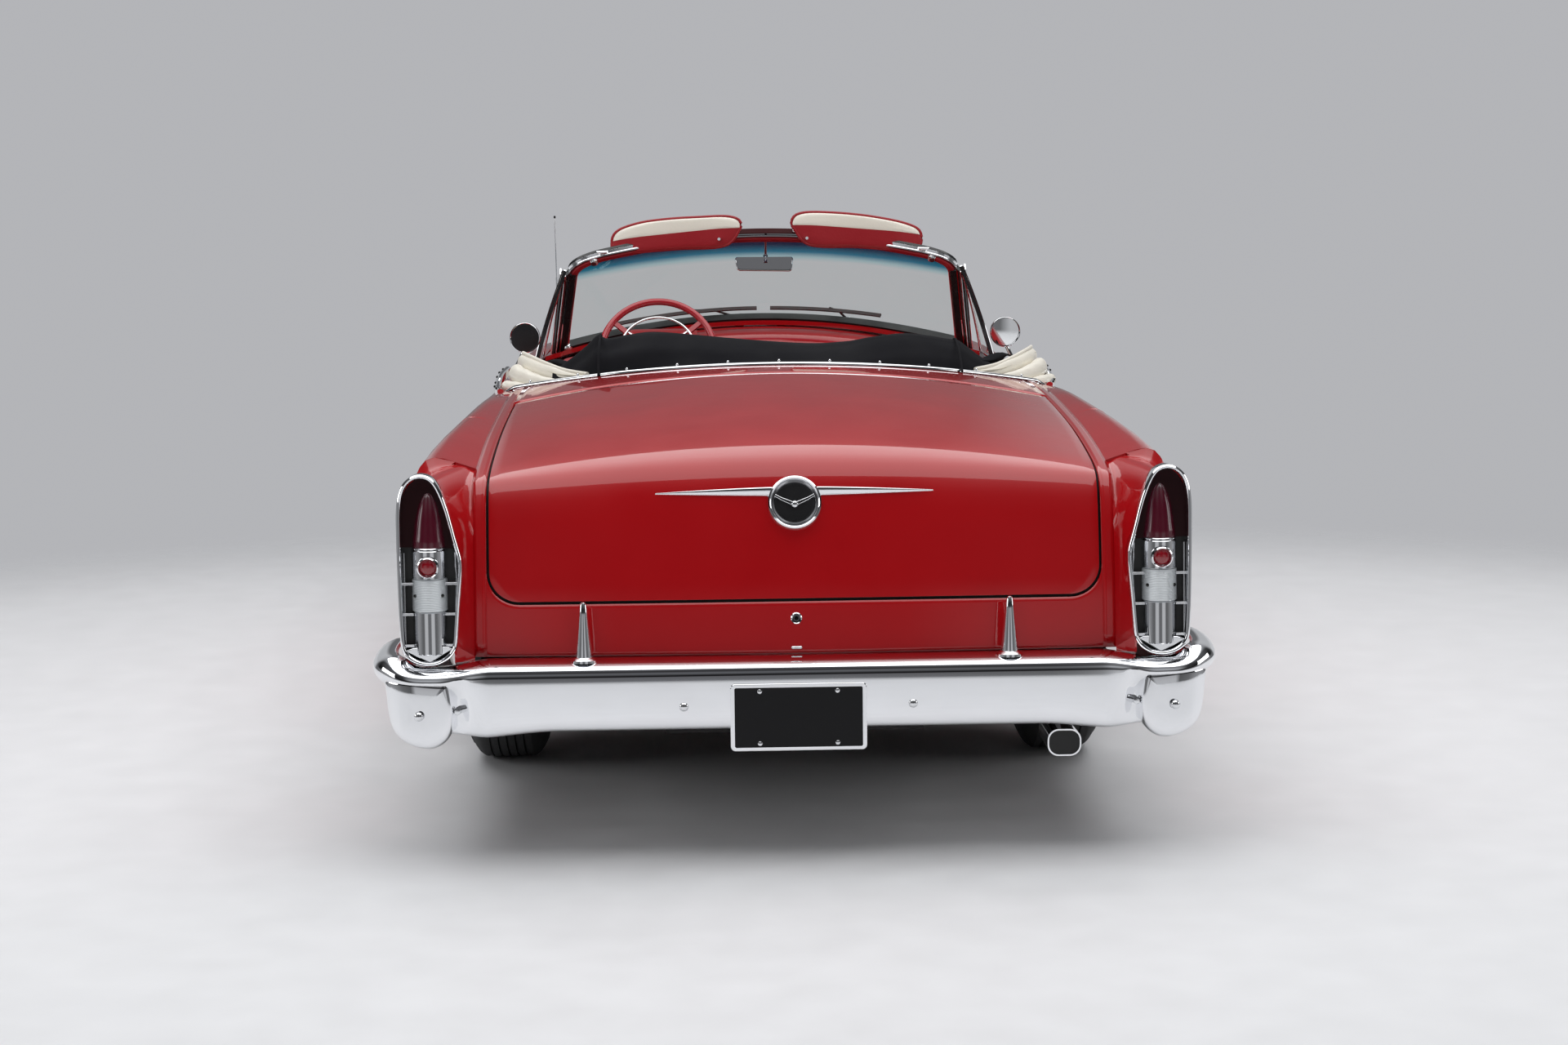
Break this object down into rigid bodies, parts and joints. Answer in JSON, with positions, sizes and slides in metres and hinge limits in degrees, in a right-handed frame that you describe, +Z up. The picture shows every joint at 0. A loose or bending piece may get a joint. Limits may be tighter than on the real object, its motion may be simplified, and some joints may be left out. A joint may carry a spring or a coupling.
{
  "type": "1950s two-door convertible car",
  "caption": "Full-size two-door convertible with the top folded, chromed bumpers, tall tail lamps, wraparound windscreen, bench seats and opening doors, bonnet and boot.",
  "frame": {"origin": "on the ground, on the centre plane, halfway along the car", "axes": "+X to the right side of the car, +Y forward, +Z up"},
  "size_m": [1.971, 5.207, 1.47],
  "materials": {
    "body_paint": "gloss",
    "chrome": "polished",
    "bright_wheel": "polished",
    "screen_glass": "clear",
    "red_lens": "gloss",
    "tyre_rubber": "matte",
    "underbody": "matte",
    "steel": "satin",
    "cast": "rough",
    "cream_vinyl": "satin",
    "black_fabric": "matte",
    "interior_paint": "satin",
    "red_plastic": "gloss",
    "plate_black": "satin"
  },
  "bodies": {
    "body_shell": {"rear_quarters": "body_paint", "front_fenders": "body_paint", "rear_deck_panel": "body_paint", "cowl_panel": "body_paint", "windshield_glass": "screen_glass", "windshield_frame": "chrome", "sun_visors": "cream_vinyl", "dashboard": "interior_paint", "floor_pan": "underbody", "wheel_housings": "underbody", "inner_wings": "underbody", "chassis_frame": "underbody", "rocker_panels": "body_paint", "nose_panel": "body_paint", "front_grille": "chrome", "headlamps": "chrome", "rear_bumper": "chrome", "front_bumper": "chrome", "licence_plate": "plate_black", "tail_lamps": "chrome", "tail_lamp_lenses": "red_lens", "body_trim": "chrome", "engine": "cast", "fuel_tank": "steel", "exhaust": "steel", "antenna": "chrome", "front_seat": "cream_vinyl", "rear_seat": "cream_vinyl", "folded_top": "black_fabric", "top_boot": "cream_vinyl", "steering_column": "interior_paint", "rear_axle": "cast", "front_suspension": "cast"},
    "door_right_assembly": {"door_right": "body_paint", "door_trim_right": "chrome", "vent_window_right": "screen_glass"},
    "door_left_assembly": {"door_left": "body_paint", "door_trim_left": "chrome", "vent_window_left": "screen_glass"},
    "bonnet": {"hood": "body_paint"},
    "boot_lid": {"trunk_lid": "body_paint", "trunk_emblem": "chrome"},
    "steering_wheel_body": {"steering_wheel": "red_plastic"},
    "knuckle_right_body": {"knuckle_right": "cast"},
    "knuckle_left_body": {"knuckle_left": "cast"},
    "road_wheel_front_right": {"wheel_front_right": "bright_wheel", "tyre_front_right": "tyre_rubber"},
    "road_wheel_front_left": {"wheel_front_left": "bright_wheel", "tyre_front_left": "tyre_rubber"},
    "road_wheel_rear_right": {"wheel_rear_right": "bright_wheel", "tyre_rear_right": "tyre_rubber"},
    "road_wheel_rear_left": {"wheel_rear_left": "bright_wheel", "tyre_rear_left": "tyre_rubber"}
  },
  "joints": [
    {"name": "door_right_hinge", "type": "hinge", "parent": "body_shell", "child": "door_right_assembly", "pos_m": [0.893, 1.098, 0.65], "axis": [0, 0, 1], "range_deg": [0, 67]},
    {"name": "door_left_hinge", "type": "hinge", "parent": "body_shell", "child": "door_left_assembly", "pos_m": [-0.893, 1.098, 0.65], "axis": [0, 0, -1], "range_deg": [0, 67]},
    {"name": "bonnet_hinge", "type": "hinge", "parent": "body_shell", "child": "bonnet", "pos_m": [0, 1.17, 1.07], "axis": [1, 0, 0], "range_deg": [0, 50]},
    {"name": "boot_lid_hinge", "type": "hinge", "parent": "body_shell", "child": "boot_lid", "pos_m": [0, -1.507, 1.044], "axis": [-1, 0, 0], "range_deg": [0, 54]},
    {"name": "steer_left", "type": "hinge", "parent": "body_shell", "child": "knuckle_left_body", "pos_m": [-0.69, 1.7655, 0.352], "axis": [0, 0, 1], "range_deg": [-28, 28]},
    {"name": "steer_right", "type": "hinge", "parent": "body_shell", "child": "knuckle_right_body", "pos_m": [0.69, 1.7655, 0.352], "axis": [0, 0, 1], "range_deg": [-28, 28]},
    {"name": "steering_wheel_turn", "type": "hinge", "parent": "body_shell", "child": "steering_wheel_body", "pos_m": [-0.36, 0.256, 1.013], "axis": [0, -0.8829, 0.4695], "range_deg": [-560, 560]},
    {"name": "spin_front_right", "type": "hinge", "parent": "knuckle_right_body", "child": "road_wheel_front_right", "pos_m": [0.7495, 1.7655, 0.352], "axis": [1, 0, 0], "continuous": true},
    {"name": "spin_front_left", "type": "hinge", "parent": "knuckle_left_body", "child": "road_wheel_front_left", "pos_m": [-0.7495, 1.7655, 0.352], "axis": [1, 0, 0], "continuous": true},
    {"name": "spin_rear_right", "type": "hinge", "parent": "body_shell", "child": "road_wheel_rear_right", "pos_m": [0.7495, -1.3335, 0.352], "axis": [1, 0, 0], "continuous": true},
    {"name": "spin_rear_left", "type": "hinge", "parent": "body_shell", "child": "road_wheel_rear_left", "pos_m": [-0.7495, -1.3335, 0.352], "axis": [1, 0, 0], "continuous": true}
  ],
  "couplings": [
    {"joint": "steer_right", "follows": "steer_left", "ratio": 1},
    {"joint": "steering_wheel_turn", "follows": "steer_left", "ratio": 20}
  ]
}
